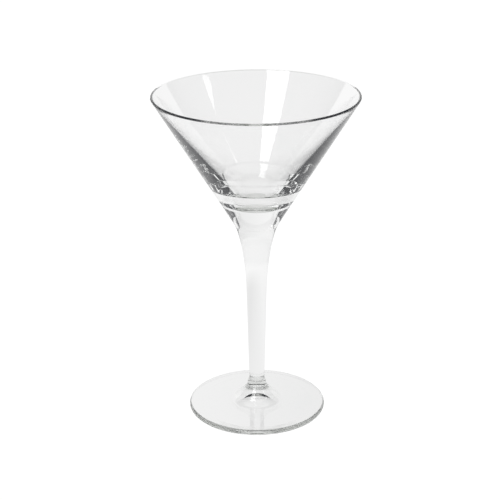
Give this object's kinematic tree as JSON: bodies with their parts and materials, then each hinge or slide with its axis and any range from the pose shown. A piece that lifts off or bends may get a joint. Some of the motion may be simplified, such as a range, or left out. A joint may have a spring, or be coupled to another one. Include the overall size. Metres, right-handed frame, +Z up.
{
  "type": "martini glass",
  "caption": "Clear stemmed cocktail glass with a wide conical bowl, a solid stem that flares into the bowl, and a flat round foot.",
  "frame": {"origin": "centre of the flat ring that the foot rests on", "axes": "+Z up along the axis of the glass, from the foot towards the lip; X and Y are any two directions across it"},
  "size_m": [0.1098, 0.1098, 0.18],
  "materials": {
    "clear_glass": "clear, fire-polished soda-lime glass"
  },
  "bodies": {
    "root": {"bowl": "clear_glass", "stem": "clear_glass", "foot": "clear_glass"}
  },
  "joints": []
}
